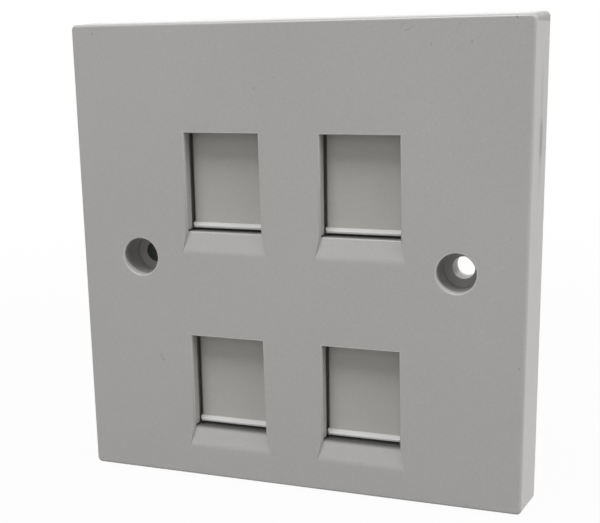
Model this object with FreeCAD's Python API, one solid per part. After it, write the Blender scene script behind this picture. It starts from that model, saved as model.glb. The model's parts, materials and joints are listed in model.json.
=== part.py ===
"""Shuttered four-way keystone faceplate, single gang.

Frame: millimetres, +X to the right, +Z up, and -Y out of the front face. The origin is the
middle of the wall plane, halfway between the two fixing holes. Depths are measured back
from the front face.
"""
import FreeCAD, Part
import math
import os

V = FreeCAD.Vector

# Faceplate moulding
PLATE_SIDE = 86.0
PLATE_DEPTH = 9.9
SIDE_DRAFT = 0.7
PANEL = 2.0
WALL = 2.2
OUTLINE_RADIUS = 0.9
FRONT_EDGE_RADIUS = 0.5
CAVITY_RADIUS = 1.0

# Fixing holes
FIXING_SPACING = 60.3
FIXING_BORE_RADIUS = 2.0
COUNTERBORE_RADIUS = 3.45
COUNTERBORE_DEPTH = 6.0
COUNTERBORE_RIM = 0.2
BOSS_RADIUS = 5.15
BOSS_RIB = 1.6

# Ports: heights inside a port are measured up from its sill
PORT_PITCH_X = 26.0
UPPER_SILL_Z = 5.15
ROW_PITCH = 37.7
APERTURE_WIDTH = 14.4
APERTURE_HEIGHT = 17.95

# Finger ramp below each aperture, and the bevel round the aperture
RAMP_DEPTH = 0.9
RAMP_LENGTH = 3.7
RAMP_FLARE = 1.1
RAMP_BLEND_RADIUS = 6.0
RAMP_RUNOUT_DEG = 2.0
SILL_RADIUS = 0.4
SIDE_BEVEL_AT_SILL = 0.35
SIDE_BEVEL_AT_TOP = 0.12
TOP_BEVEL = 0.15
OVERCUT = 0.2

# Shutters
SHUTTER_FACE_DEPTH = 3.2
SHUTTER_WIDTH = 14.1
SHUTTER_BACK_DEPTH = 5.0
SHUTTER_SKIN = 1.0
SHUTTER_FOOT = -2.0
SHUTTER_HEAD = 19.3
SHUTTER_EDGE_RADIUS = 0.15
FLANGE_DEPTH = 4.5
FLANGE_REACH = 9.2
LIP_WIDTH = 14.6
LIP_NOSE_DEPTH = 2.1
LIP_NOSE_Z = (0.5, 0.95)
LIP_ROOT_Z = (0.3, 1.4)
LIP_NOSE_RADIUS = 0.2
LIP_BEVEL_X = 0.57
LIP_BEVEL_Y = 0.6

# Shutter guides on the back of the panel
RUNNING_GAP = 0.1
FRONT_GUIDE_X = (7.9, 8.9)
SIDE_GUIDE_X = (9.35, 10.2)
GUIDE_FOOT = -3.0
SIDE_GUIDE_FOOT = 14.0
GUIDE_HEAD = 33.5

# Springs and the grooves that hold them
SPRING_X = 9.3
SPRING_OUTER_RADIUS = 1.0
SPRING_WIRE = 0.3
SPRING_TURNS = 12
SPRING_WIRE_SIDES = 6
SPRING_TURN_STEPS = 16
GROOVE_WIDTH = 2.2
GROOVE_DEPTH = 2.2
GROOVE_FOOT = -2.2
GROOVE_HEAD = 24.5
GROOVE_WALL = 0.6
SPRING_END_GAP = 0.05
TAB_BACK_DEPTH = 7.0
TAB_FOOT = -1.8
TAB_HEAD = 0.2
TAB_GAP = 0.1

# Port frames: one behind each row
FRAME_DEPTH = 5.1
FRAME_SLAB = 1.6
FRAME_HALF_WIDTH = 24.7
FRAME_FOOT = -3.2
FRAME_HEAD = 26.5
FRAME_CORNER = 1.0
BAY_WIDTH = 14.8
BAY_HEIGHT = 16.4
BAY_FOOT = 0.8
BAY_WALL = 1.4
LATCH_DEPTH = 13.2
CHEEK_DEPTH = 15.2
LATCH_LEAD = 0.8
EAR_X = 27.6
EAR_Z = 12.7
EAR_RADIUS = 2.8

# Screws that hold the port frames
POST_RADIUS = 2.0
PILOT_RADIUS = 0.85
PILOT_END_DEPTH = 2.4
SCREW_CLEARANCE_RADIUS = 1.2
SCREW_CORE_RADIUS = 0.82
SCREW_HEAD_RADIUS = 1.85
SCREW_HEAD_HEIGHT = 1.2
SCREW_LENGTH = 4.0
SCREW_TIP = 0.7
RECESS_ARM = 1.1
RECESS_WIDTH = 0.45
RECESS_DEPTH = 0.6

ROWS = (("upper", UPPER_SILL_Z), ("lower", UPPER_SILL_Z - ROW_PITCH))
SIDES = (("left", -1), ("right", 1))


def at_depth(depth):
    """Y of a point that lies this far behind the front face."""
    return depth - PLATE_DEPTH


def block(x_range, depth_range, z_range):
    """Box between two values of X, of depth and of Z."""
    (x0, x1), (d0, d1), (z0, z1) = x_range, depth_range, z_range
    return Part.makeBox(x1 - x0, d1 - d0, z1 - z0, V(x0, at_depth(d0), z0))


def rod(x, z, radius, depth_range):
    """Cylinder along the plate's depth."""
    d0, d1 = depth_range
    return Part.makeCylinder(radius, d1 - d0, V(x, at_depth(d0), z), V(0, 1, 0))


def extrude_x(edges, x0, x1):
    """Prism whose section, drawn in the depth and Z plane at X = 0, runs from x0 to x1."""
    face = Part.Face(Part.Wire(edges))
    face.translate(V(x0, 0, 0))
    return face.extrude(V(x1 - x0, 0, 0))


def hull(corners, faces):
    """Closed solid with flat faces; each face lists its corners by name."""
    shells = []
    for face in faces:
        points = [corners[name] for name in face]
        shells.append(Part.Face(Part.makePolygon(points + points[:1])))
    solid = Part.makeSolid(Part.makeShell(shells))
    if solid.Volume < 0:
        solid.reverse()
    return solid


def depth_edges(shape):
    """Straight edges of a block that run along the plate's depth."""
    return [edge for edge in shape.Edges if edge.BoundBox.YLength > 0.99 * edge.Length]


def rounded_square(side, radius, depth):
    """Closed outline of a square with rounded corners, across the plate at one depth."""
    half = side / 2
    square = block((-half, half), (depth, depth + 1), (-half, half))
    square = square.makeFillet(radius, depth_edges(square))
    front = [face for face in square.Faces if face.BoundBox.YMax < at_depth(depth + 0.01)]
    return front[0].OuterWire


def outer_shell():
    """The open-backed tray: panel and four walls that draw in a little towards the front."""
    at_front = rounded_square(PLATE_SIDE - 2 * SIDE_DRAFT, OUTLINE_RADIUS, 0)
    at_back = rounded_square(PLATE_SIDE, OUTLINE_RADIUS, PLATE_DEPTH)
    body = Part.makeLoft([at_front, at_back], True, True)
    front = [e for e in body.Edges if e.BoundBox.YMax < at_depth(0.01)]
    body = body.makeFillet(FRONT_EDGE_RADIUS, front)
    inside = PLATE_SIDE / 2 - WALL
    cavity = block((-inside, inside), (PANEL, PLATE_DEPTH + 1), (-inside, inside))
    cavity = cavity.makeFillet(CAVITY_RADIUS, depth_edges(cavity))
    return body.cut(cavity)


def ramp_section():
    """Section that the finger ramp takes out, with its sill at Z = 0.

    From the rounded sill edge a straight ramp runs down and forward, and bends through a
    large arc into a nearly flat run-out that leaves through the front face.
    """
    slope = math.atan2(RAMP_DEPTH, RAMP_LENGTH)
    runout = math.radians(RAMP_RUNOUT_DEG)

    def point(depth, z):
        return V(0, at_depth(depth), z)

    def arc(centre, radius, start, end):
        """Arc; angles are turned from straight up, towards the front."""
        places = []
        for turn in (start, (start + end) / 2, end):
            places.append((centre[0] - radius * math.sin(turn), centre[1] + radius * math.cos(turn)))
        return Part.Arc(*[point(*place) for place in places]).toShape(), places[0], places[-1]

    # The sill's rounding touches the level sill and the ramp.
    down = math.pi / 2 - slope
    sill_reach = SILL_RADIUS * math.tan(down / 2)
    sill_centre = (RAMP_DEPTH + sill_reach, -SILL_RADIUS)
    sill_arc, sill_start, sill_end = arc(sill_centre, SILL_RADIUS, 0.0, down)

    # The blend's centre lies behind the face, below the ramp.
    reach = RAMP_BLEND_RADIUS * math.tan((slope - runout) / 2)
    corner = (0.0 + math.sin(runout) * reach, -RAMP_LENGTH)
    blend_start = (corner[0] + reach * math.sin(slope), corner[1] + reach * math.cos(slope))
    centre = (
        blend_start[0] + RAMP_BLEND_RADIUS * math.cos(slope),
        blend_start[1] - RAMP_BLEND_RADIUS * math.sin(slope),
    )
    blend_arc, arc_start, arc_end = arc(centre, RAMP_BLEND_RADIUS, math.pi / 2 - slope, math.pi / 2 - runout)
    runout_length = (arc_end[0] + OVERCUT / 2) / math.sin(runout)
    tail = (-OVERCUT / 2, arc_end[1] - runout_length * math.cos(runout))
    front_low = (-OVERCUT, tail[1])
    front_high = (-OVERCUT, OVERCUT)
    back_high = (sill_start[0], OVERCUT)

    def line(a, b):
        return Part.makeLine(point(*a), point(*b))

    return [
        sill_arc,
        line(sill_end, arc_start),
        blend_arc,
        line(arc_end, tail),
        line(tail, front_low),
        line(front_low, front_high),
        line(front_high, back_high),
        line(back_high, sill_start),
    ]


def flare_x(depth, z):
    """Half width of the bevelled opening at a depth, above (z > 0) or below the sill."""
    at_face = SIDE_BEVEL_AT_SILL
    if z >= 0:
        at_face -= (SIDE_BEVEL_AT_SILL - SIDE_BEVEL_AT_TOP) * z / APERTURE_HEIGHT
    else:
        at_face += (RAMP_FLARE - SIDE_BEVEL_AT_SILL) * -z / RAMP_LENGTH
    return APERTURE_WIDTH / 2 + at_face - SIDE_BEVEL_AT_SILL * depth / RAMP_DEPTH


def flare_block(z_low, z_high, depth_low, depth_high):
    """Solid between two heights whose sides lean out to the front as flare_x says."""
    corners = {}
    for height, z in (("low", z_low), ("high", z_high)):
        depth_back = depth_low if height == "low" else depth_high
        for place, depth in (("front", -OVERCUT), ("back", depth_back)):
            for side, sign in SIDES:
                corners[height + place + side] = V(sign * flare_x(depth, z), at_depth(depth), z)
    faces = [
        ("lowfrontleft", "lowfrontright", "lowbackright", "lowbackleft"),
        ("highfrontleft", "highfrontright", "highbackright", "highbackleft"),
        ("lowfrontleft", "lowfrontright", "highfrontright", "highfrontleft"),
        ("lowbackleft", "lowbackright", "highbackright", "highbackleft"),
        ("lowfrontleft", "highfrontleft", "highbackleft", "lowbackleft"),
        ("lowfrontright", "highfrontright", "highbackright", "lowbackright"),
    ]
    return hull(corners, faces)


def aperture_cutter():
    """Everything taken out of the panel for one port, centred on X = 0, sill at Z = 0."""
    half = APERTURE_WIDTH / 2
    opening = block((-half, half), (-1, PANEL + 1), (0, APERTURE_HEIGHT))
    top_depth = RAMP_DEPTH * SIDE_BEVEL_AT_TOP / SIDE_BEVEL_AT_SILL
    sides = flare_block(0, APERTURE_HEIGHT, RAMP_DEPTH, top_depth)
    front, back = at_depth(-OVERCUT), at_depth(TOP_BEVEL)
    top = APERTURE_HEIGHT
    bevel_high = V(0, front, top + TOP_BEVEL + OVERCUT)
    bevel_corners = [V(0, back, top), bevel_high, V(0, front, top - 1), V(0, back, top - 1)]
    bevel_edges = Part.makePolygon(bevel_corners + bevel_corners[:1]).Edges
    top_bevel = extrude_x(bevel_edges, -half - SIDE_BEVEL_AT_TOP, half + SIDE_BEVEL_AT_TOP)
    lower = -RAMP_LENGTH - 3.0
    flare = flare_block(lower, 0, RAMP_DEPTH, RAMP_DEPTH)
    sill_zone = block((-half, half), (RAMP_DEPTH, PANEL), (-1, 0))
    ramp = extrude_x(ramp_section(), -PORT_PITCH_X / 2, PORT_PITCH_X / 2)
    ramp = ramp.common(flare.fuse(sill_zone))
    return opening.fuse([sides, top_bevel, ramp])


def fixing_boss(sign):
    """Boss round one fixing hole, with a rib that ties it to the side wall."""
    x = sign * FIXING_SPACING / 2
    wall_x = sign * (PLATE_SIDE / 2 - WALL / 2)
    rib = block(sorted((x, wall_x)), (PANEL, PLATE_DEPTH - BOSS_RIB), (-BOSS_RIB / 2, BOSS_RIB / 2))
    return rod(x, 0, BOSS_RADIUS, (PANEL / 2, PLATE_DEPTH)).fuse(rib)


def fixing_hole(sign):
    """Counterbore with an eased rim, and the through bore behind it."""
    x = sign * FIXING_SPACING / 2
    bore = rod(x, 0, FIXING_BORE_RADIUS, (-1, PLATE_DEPTH + 1))
    counterbore = rod(x, 0, COUNTERBORE_RADIUS, (-1, COUNTERBORE_DEPTH))
    wide = COUNTERBORE_RADIUS + COUNTERBORE_RIM + OVERCUT
    rim_start = V(x, at_depth(-OVERCUT), 0)
    rim = Part.makeCone(wide, COUNTERBORE_RADIUS, COUNTERBORE_RIM + OVERCUT, rim_start, V(0, 1, 0))
    return bore.fuse([counterbore, rim])


def port_guides():
    """Ribs on the panel's back that guide one shutter, centred on X = 0, sill at Z = 0."""
    ribs = []
    for _, sign in SIDES:
        front_x = sorted(sign * x for x in FRONT_GUIDE_X)
        side_x = sorted(sign * x for x in SIDE_GUIDE_X)
        ribs.append(block(front_x, (PANEL / 2, FLANGE_DEPTH - RUNNING_GAP), (GUIDE_FOOT, GUIDE_HEAD)))
        ribs.append(block(side_x, (PANEL / 2, SHUTTER_BACK_DEPTH), (SIDE_GUIDE_FOOT, GUIDE_HEAD)))
    return ribs


def frame_post(x, z):
    """Post on the panel's back that takes one port frame screw."""
    return rod(x, z, POST_RADIUS, (PANEL / 2, FRAME_DEPTH))


def pilot_hole(x, z):
    """Blind hole in a post for a self-tapping screw."""
    return rod(x, z, PILOT_RADIUS, (PILOT_END_DEPTH, FRAME_DEPTH + 1))


def moved(shape, x, z):
    """Copy of a shape set across and up."""
    copy = shape.copy()
    copy.translate(V(x, 0, z))
    return copy


def screw_places(sill_z):
    """X and Z of the three screws of one row's port frame, by name."""
    return [("left", -EAR_X, sill_z + EAR_Z), ("centre", 0, sill_z + EAR_Z), ("right", EAR_X, sill_z + EAR_Z)]


def faceplate():
    """The whole front moulding."""
    added = [fixing_boss(sign) for _, sign in SIDES]
    removed = [fixing_hole(sign) for _, sign in SIDES]
    for _, sill_z in ROWS:
        for _, sign in SIDES:
            x = sign * PORT_PITCH_X / 2
            added += [moved(rib, x, sill_z) for rib in port_guides()]
            removed.append(moved(aperture_cutter(), x, sill_z))
        for _, x, z in screw_places(sill_z):
            added.append(frame_post(x, z))
            removed.append(pilot_hole(x, z))
    return outer_shell().fuse(added).cut(removed).removeSplitter()


def shutter():
    """One sliding shutter, shut, centred on X = 0, with the sill at Z = 0."""
    half = SHUTTER_WIDTH / 2
    height = (SHUTTER_FOOT, SHUTTER_HEAD)
    plate = block((-half, half), (SHUTTER_FACE_DEPTH, SHUTTER_BACK_DEPTH), height)
    front = [e for e in plate.Edges if e.BoundBox.YMax < at_depth(SHUTTER_FACE_DEPTH + 0.01)]
    sides = [e for e in front if e.BoundBox.ZLength > 1]
    plate = plate.makeFillet(SHUTTER_EDGE_RADIUS, sides)
    inner = half - SHUTTER_SKIN
    hollow_z = (SHUTTER_FOOT + SHUTTER_SKIN, SHUTTER_HEAD - SHUTTER_SKIN)
    hollow = block((-inner, inner), (SHUTTER_FACE_DEPTH + SHUTTER_SKIN, SHUTTER_BACK_DEPTH + 1), hollow_z)
    plate = plate.cut(hollow)
    pieces = [shutter_lip()]
    for _, sign in SIDES:
        flange_x = sorted((sign * (half - SHUTTER_SKIN / 2), sign * FLANGE_REACH))
        pieces.append(block(flange_x, (FLANGE_DEPTH, SHUTTER_BACK_DEPTH), height))
        tab_inner = SPRING_X - GROOVE_WIDTH / 2 + TAB_GAP
        tab_outer = SPRING_X + GROOVE_WIDTH / 2 - TAB_GAP
        tab_x = sorted((sign * tab_inner, sign * tab_outer))
        pieces.append(block(tab_x, (FLANGE_DEPTH, TAB_BACK_DEPTH), (TAB_FOOT, TAB_HEAD)))
    return plate.fuse(pieces).removeSplitter()


def shutter_lip():
    """Finger lip across a shutter's foot: a sloping top, a rounded nose and bevelled ends."""
    half = LIP_WIDTH / 2
    root = SHUTTER_FACE_DEPTH + SHUTTER_SKIN / 2
    nose_low, nose_high = LIP_NOSE_Z
    root_low, root_high = LIP_ROOT_Z
    section = [
        V(0, at_depth(root), root_low),
        V(0, at_depth(LIP_NOSE_DEPTH), nose_low),
        V(0, at_depth(LIP_NOSE_DEPTH), nose_high),
        V(0, at_depth(SHUTTER_FACE_DEPTH), root_high),
        V(0, at_depth(root), root_high),
    ]
    blade = extrude_x(Part.makePolygon(section + section[:1]).Edges, -half, half)
    foremost = at_depth(LIP_NOSE_DEPTH + 0.01)
    nose = [e for e in blade.Edges if e.BoundBox.YMax < foremost and e.BoundBox.XLength > 1]
    blade = blade.makeFillet(LIP_NOSE_RADIUS, nose)
    ends = [
        V(-half, at_depth(root), 0),
        V(-half, at_depth(LIP_NOSE_DEPTH + LIP_BEVEL_Y), 0),
        V(-half + LIP_BEVEL_X, at_depth(LIP_NOSE_DEPTH), 0),
        V(half - LIP_BEVEL_X, at_depth(LIP_NOSE_DEPTH), 0),
        V(half, at_depth(LIP_NOSE_DEPTH + LIP_BEVEL_Y), 0),
        V(half, at_depth(root), 0),
    ]
    return blade.common(Part.Face(Part.makePolygon(ends + ends[:1])).extrude(V(0, 0, root_high)))


def frame_ear(sign):
    """Rounded lug with a screw hole at one end of a port frame."""
    z_range = (EAR_Z - EAR_RADIUS, EAR_Z + EAR_RADIUS)
    depths = (FRAME_DEPTH, FRAME_DEPTH + FRAME_SLAB)
    neck = block(sorted((sign * (FRAME_HALF_WIDTH - 1), sign * EAR_X)), depths, z_range)
    return neck.fuse(rod(sign * EAR_X, EAR_Z, EAR_RADIUS, depths))


def groove_housing(x):
    """Raised rib round one spring groove."""
    reach = GROOVE_WIDTH / 2 + GROOVE_WALL
    back = FRAME_DEPTH + GROOVE_DEPTH + GROOVE_WALL
    return block((x - reach, x + reach), (FRAME_DEPTH, back), (FRAME_FOOT, FRAME_HEAD))


def groove(x):
    """Groove for one spring and the shutter tab that presses on it."""
    reach = GROOVE_WIDTH / 2
    depths = (FRAME_DEPTH - 1, FRAME_DEPTH + GROOVE_DEPTH)
    return block((x - reach, x + reach), depths, (GROOVE_FOOT, GROOVE_HEAD))


def bay_walls(x):
    """Walls of one keystone bay: latch ledges above and below, and taller cheeks."""
    half = BAY_WIDTH / 2
    bottom, top = BAY_FOOT - BAY_WALL, BAY_FOOT + BAY_HEIGHT + BAY_WALL
    ledges = block((x - half - BAY_WALL, x + half + BAY_WALL), (FRAME_DEPTH, LATCH_DEPTH), (bottom, top))
    walls = [ledges]
    for _, sign in SIDES:
        cheek_x = sorted((x + sign * half, x + sign * (half + BAY_WALL)))
        cheek = block(cheek_x, (FRAME_DEPTH, CHEEK_DEPTH), (bottom, top))
        walls.append(cheek.makeFillet(BAY_WALL / 4, depth_edges(cheek)))
    return walls


def bay_opening(x):
    """Passage of one keystone bay, with lead-in slopes at the back for the jack's latches."""
    half = BAY_WIDTH / 2
    top = BAY_FOOT + BAY_HEIGHT
    passage = block((x - half, x + half), (FRAME_DEPTH - 1, CHEEK_DEPTH + 1), (BAY_FOOT, top))
    start, end = at_depth(LATCH_DEPTH - LATCH_LEAD), at_depth(LATCH_DEPTH + OVERCUT)
    spread = LATCH_LEAD / 2
    section = [V(0, start, BAY_FOOT), V(0, end, BAY_FOOT - spread), V(0, end, top + spread), V(0, start, top)]
    lead = extrude_x(Part.makePolygon(section + section[:1]).Edges, x - half, x + half)
    return passage.fuse(lead)


def port_frame():
    """One port frame, with its row's sill at Z = 0."""
    depths = (FRAME_DEPTH, FRAME_DEPTH + FRAME_SLAB)
    slab = block((-FRAME_HALF_WIDTH, FRAME_HALF_WIDTH), depths, (FRAME_FOOT, FRAME_HEAD))
    slab = slab.makeFillet(FRAME_CORNER, depth_edges(slab))
    added = [frame_ear(sign) for _, sign in SIDES]
    through = (FRAME_DEPTH - 1, CHEEK_DEPTH)
    removed = [rod(x, z, SCREW_CLEARANCE_RADIUS, through) for _, x, z in screw_places(0)]
    for _, sign in SIDES:
        port_x = sign * PORT_PITCH_X / 2
        added += bay_walls(port_x)
        removed.append(bay_opening(port_x))
        for _, end in SIDES:
            added.append(groove_housing(port_x + end * SPRING_X))
            removed.append(groove(port_x + end * SPRING_X))
    return slab.fuse(added).cut(removed).removeSplitter()


def spring_section(turn, slope):
    """Closed outline of the wire, this far round the coil, on a coil about the Z axis at Z = 0."""
    wire = SPRING_WIRE / 2
    points = []
    for corner in range(SPRING_WIRE_SIDES):
        angle = 2 * math.pi * corner / SPRING_WIRE_SIDES
        radial = SPRING_OUTER_RADIUS - wire + wire * math.cos(angle)
        along = -wire * math.sin(angle) * math.sin(slope)
        x = radial * math.cos(turn) - along * math.sin(turn)
        y = radial * math.sin(turn) + along * math.cos(turn)
        points.append(V(x, y, wire * math.sin(angle) * math.cos(slope)))
    return Part.makePolygon(points + points[:1])


def spring():
    """Compression spring on the Z axis of its groove, from the shutter's tab to the seat."""
    low = TAB_HEAD + SPRING_END_GAP + SPRING_WIRE / 2
    high = GROOVE_HEAD - SPRING_END_GAP - SPRING_WIRE / 2
    turns_length = SPRING_TURNS * 2 * math.pi * (SPRING_OUTER_RADIUS - SPRING_WIRE / 2)
    slope = math.atan2(high - low, turns_length)
    steps = SPRING_TURNS * SPRING_TURN_STEPS
    sections = []
    for step in range(steps + 1):
        section = spring_section(2 * math.pi * step / SPRING_TURN_STEPS, slope)
        section.translate(V(0, at_depth(FRAME_DEPTH + GROOVE_DEPTH / 2), low + (high - low) * step / steps))
        sections.append(section)
    return Part.makeLoft(sections, True, True)


def frame_screw():
    """Pan-head self-tapping screw that points at the panel, with its axis on X = Z = 0."""
    seat = FRAME_DEPTH + FRAME_SLAB
    head = rod(0, 0, SCREW_HEAD_RADIUS, (seat, seat + SCREW_HEAD_HEIGHT))
    rim = [e for e in head.Edges if e.BoundBox.YMin > at_depth(seat + SCREW_HEAD_HEIGHT - 0.01)]
    head = head.makeFillet(SCREW_HEAD_HEIGHT / 2, rim)
    shank_end = seat - SCREW_LENGTH + SCREW_TIP
    shank = rod(0, 0, SCREW_CORE_RADIUS, (shank_end, seat))
    tip_start = V(0, at_depth(shank_end), 0)
    tip = Part.makeCone(SCREW_CORE_RADIUS, SCREW_CORE_RADIUS / 3, SCREW_TIP, tip_start, V(0, -1, 0))
    recess_depths = (seat + SCREW_HEAD_HEIGHT - RECESS_DEPTH, seat + SCREW_HEAD_HEIGHT + 1)
    long, thin = (-RECESS_ARM, RECESS_ARM), (-RECESS_WIDTH / 2, RECESS_WIDTH / 2)
    cross = block(long, recess_depths, thin).fuse(block(thin, recess_depths, long))
    return head.fuse([shank, tip]).cut(cross).removeSplitter()


def assembly():
    """Every piece in place, by name."""
    nodes = {"faceplate": faceplate()}
    for row, sill_z in ROWS:
        nodes["port_frame_" + row] = moved(port_frame(), 0, sill_z)
        for place, x, z in screw_places(sill_z):
            nodes["frame_screw_" + row + "_" + place] = moved(frame_screw(), x, z)
        for side, sign in SIDES:
            x = sign * PORT_PITCH_X / 2
            name = row + "_" + side
            nodes["shutter_" + name] = moved(shutter(), x, sill_z)
            for end, offset in (("outer", sign * SPRING_X), ("inner", -sign * SPRING_X)):
                nodes["shutter_spring_" + name + "_" + end] = moved(spring(), x + offset, sill_z)
    return nodes


os.makedirs("parts", exist_ok=True)
for node, shape in assembly().items():
    solids = shape.Solids
    if len(solids) != 1 or not solids[0].isValid():
        raise RuntimeError(node + " is not one valid solid")
    solids[0].exportStep("parts/" + node + ".step")
    box = solids[0].BoundBox
    size = "%.2f x %.2f x %.2f mm" % (box.XLength, box.YLength, box.ZLength)
    print(node, size, "volume %.1f mm3" % solids[0].Volume)
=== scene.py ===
"""Looks of a shuttered four-way keystone faceplate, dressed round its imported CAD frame.

Lengths are metres unless a name ends in _mm. +X is right, +Z is up and -Y comes out of the
front face. The origin is the middle of the wall plane.
"""

import json
import logging
import math
from abc import ABC, abstractmethod
from dataclasses import dataclass
from enum import Enum

import bmesh
import bpy
import numpy as np
from mathutils import Matrix, Vector


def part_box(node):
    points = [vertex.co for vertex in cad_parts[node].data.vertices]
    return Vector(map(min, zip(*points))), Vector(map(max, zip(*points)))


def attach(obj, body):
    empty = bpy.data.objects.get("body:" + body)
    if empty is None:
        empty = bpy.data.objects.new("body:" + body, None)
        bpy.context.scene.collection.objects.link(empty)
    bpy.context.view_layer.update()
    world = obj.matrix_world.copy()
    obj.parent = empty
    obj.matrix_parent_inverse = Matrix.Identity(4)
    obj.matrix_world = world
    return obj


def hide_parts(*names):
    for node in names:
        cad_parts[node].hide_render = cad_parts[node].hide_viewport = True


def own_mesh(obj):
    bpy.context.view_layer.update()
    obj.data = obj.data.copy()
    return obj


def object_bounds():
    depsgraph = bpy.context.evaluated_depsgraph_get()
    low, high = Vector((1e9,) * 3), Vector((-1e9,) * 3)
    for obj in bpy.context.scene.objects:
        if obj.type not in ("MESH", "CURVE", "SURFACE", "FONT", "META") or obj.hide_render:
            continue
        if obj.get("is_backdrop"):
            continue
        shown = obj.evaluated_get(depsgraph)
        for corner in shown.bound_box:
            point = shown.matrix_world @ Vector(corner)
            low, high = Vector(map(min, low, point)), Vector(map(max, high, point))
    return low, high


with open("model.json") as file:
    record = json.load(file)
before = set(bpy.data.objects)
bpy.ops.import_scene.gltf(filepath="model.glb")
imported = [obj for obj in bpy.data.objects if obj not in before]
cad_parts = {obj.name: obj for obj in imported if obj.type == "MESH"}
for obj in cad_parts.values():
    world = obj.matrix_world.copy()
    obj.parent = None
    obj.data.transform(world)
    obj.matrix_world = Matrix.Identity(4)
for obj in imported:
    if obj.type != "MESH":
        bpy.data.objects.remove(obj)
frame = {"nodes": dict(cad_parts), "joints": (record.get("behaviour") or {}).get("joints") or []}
CAD_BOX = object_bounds()

LOG = logging.getLogger("faceplate")
MM = 0.001
MERGE_DISTANCE = 1e-6
PLATE_BODY = "plate"
FACE_Y_MM = CAD_BOX[0][1] / MM

PORT_X_MM = 13.0
HOLE_X_MM = 30.15
SHUTTER_FOOT_MM = 2.0
WALL_RADII_MM = (3.3, 3.7)

Link = bpy.types.NodeSocket
Number = float | int
Colour = tuple[float, float, float, float]

PLATE_GREY = (0.429, 0.42, 0.411)
SHUTTER_GREY = (0.43, 0.422, 0.4)
FRAME_GREY = (0.404, 0.40, 0.388)
SPRING_STEEL: Colour = (0.56, 0.56, 0.58, 1.0)
ZINC: Colour = (0.62, 0.61, 0.56, 1.0)
WHITE: Colour = (1.0, 1.0, 1.0, 1.0)
# Linear tones of painted shade, then of painted light.
SHADE_TONE: Colour = (0.05, 0.05, 0.045, 1.0)
DARK_TONE: Colour = (0.015, 0.015, 0.016, 1.0)
BORE_TONE: Colour = (0.03, 0.03, 0.034, 1.0)
PALE_TONE: Colour = (0.72, 0.72, 0.71, 1.0)
LIP_LIGHT_TONE: Colour = (0.525, 0.522, 0.52, 1.0)
BORE_LIGHT_TONE: Colour = (0.95, 0.95, 0.95, 1.0)
MARK_TONE: Colour = (0.12, 0.10, 0.075, 1.0)

MEAN_NOISE = 0.5
# Roughness added where shade is painted.
SHADE_DULLING = 0.5
MARK_DULLING = 0.2
# Depths behind the front face between which its marks end.
MARK_DEPTHS_MM = (0.1, 0.3)
# Squared distance, in half sizes, at which a speck has faded out, and at which it is full.
SPECK_BORDER = (1.5, 0.4)
# Distance from a curl's line, in half widths, at which it has faded out, and at which it is full.
CURL_BORDER = (1.6, 0.4)
# Cosines past a curl's end at which it begins, and at which it is full.
CURL_ENDS = (-0.08, 0.02)
SHORTEST_MM = 0.01

# Sockets of a Mix node that mixes colours.
MIX_FACTOR, MIX_LOW, MIX_HIGH, MIX_RESULT = 0, 6, 7, 2

# Steps in which flats are told apart: of a normal's parts, and of a millimetre's offset.
NORMAL_STEPS = 400
OFFSET_STEPS = 50
SMALLEST_AREA = 1e-18


class Row(Enum):
    """A row of two ports."""

    UPPER = "upper"
    LOWER = "lower"


class Side(Enum):
    """A column of ports, seen from the front."""

    LEFT = "left"
    RIGHT = "right"


class ScrewPlace(Enum):
    """Where a screw holds a port frame."""

    LEFT = "left"
    CENTRE = "centre"
    RIGHT = "right"


# How far the lip's painted shadow reaches down the ramps of each row.
SHADOW_REACH_MM = {Row.UPPER: 0.2, Row.LOWER: 0.65}


# ---------------------------------------------------------------------------
# Shader expressions
# ---------------------------------------------------------------------------


class Signal:
    """One value, colour or vector output, with arithmetic that adds Math nodes."""

    def __init__(self, network: "Network", socket: Link) -> None:
        """Wrap a socket.

        Args:
            network: The nodes that the socket belongs to.
            socket: The output that carries the value.
        """
        self.network = network
        self.socket = socket

    def _math(self, operation: str, *operands: "Signal | Number") -> "Signal":
        """Add a Math node with this operation on these operands and return its result."""
        return self.network.node("ShaderNodeMath", {"operation": operation}, dict(enumerate(operands)))

    def __add__(self, other: "Signal | Number") -> "Signal":
        """Sum."""
        return self._math("ADD", self, other)

    def __sub__(self, other: "Signal | Number") -> "Signal":
        """Difference."""
        return self._math("SUBTRACT", self, other)

    def __mul__(self, other: "Signal | Number") -> "Signal":
        """Product."""
        return self._math("MULTIPLY", self, other)

    def __truediv__(self, other: "Signal | Number") -> "Signal":
        """Quotient."""
        return self._math("DIVIDE", self, other)

    def __rsub__(self, other: Number) -> "Signal":
        """Number minus signal."""
        return self._math("SUBTRACT", other, self)

    def __rtruediv__(self, other: Number) -> "Signal":
        """Number over signal."""
        return self._math("DIVIDE", other, self)

    __radd__ = __add__
    __rmul__ = __mul__

    def largest(self, other: "Signal | Number") -> "Signal":
        """The larger of this and other."""
        return self._math("MAXIMUM", self, other)

    def size(self) -> "Signal":
        """Absolute value."""
        return self._math("ABSOLUTE", self)

    def root(self) -> "Signal":
        """Square root."""
        return self._math("SQRT", self)

    def angle(self) -> "Signal":
        """The angle, in radians, that this is the cosine of."""
        return self._math("ARCCOSINE", self)

    def ramp(self, start: float, end: float) -> "Signal":
        """Smooth step: 0 at start and before, 1 at end and after.

        Args:
            start: Value at which the step begins.
            end: Value at which it is complete. It may be less than start.

        Returns:
            The step as a signal.
        """
        settings = {"interpolation_type": "SMOOTHSTEP"}
        low, high, before, after = (start, end, 0.0, 1.0) if start < end else (end, start, 1.0, 0.0)
        ends = {"From Min": low, "From Max": high, "To Min": before, "To Max": after}
        return self.network.node("ShaderNodeMapRange", settings, {"Value": self, **ends})


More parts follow.
